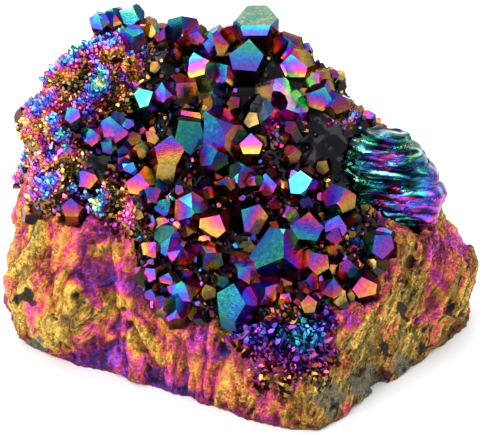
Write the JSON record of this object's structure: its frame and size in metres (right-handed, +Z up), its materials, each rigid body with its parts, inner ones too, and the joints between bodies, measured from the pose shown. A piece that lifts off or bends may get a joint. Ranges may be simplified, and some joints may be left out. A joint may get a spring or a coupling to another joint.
{
  "type": "titanium aura quartz cluster",
  "caption": "Broken block of host rock with a sloping crust of quartz points and one large striated crystal, all coated in a rainbow metal film; stands on a flat underside.",
  "frame": {"origin": "on the flat underside that the rock rests on, under the middle of its length and depth", "axes": "+X to the striated crystal's end of the block, +Y to the back, away from the crystal face, +Z up"},
  "size_m": [0.0802, 0.0607, 0.0518],
  "materials": {
    "host_rock": "rough broken rock under a gold and magenta metal film",
    "coated_quartz": "glossy crystal faces under a rainbow titanium film",
    "coated_striated_quartz": "glossy stepped crystal faces under a teal and violet titanium film"
  },
  "bodies": {
    "root": {"matrix": "host_rock", "crystal_crust": "coated_quartz", "striated_crystal": "coated_striated_quartz"}
  },
  "joints": []
}
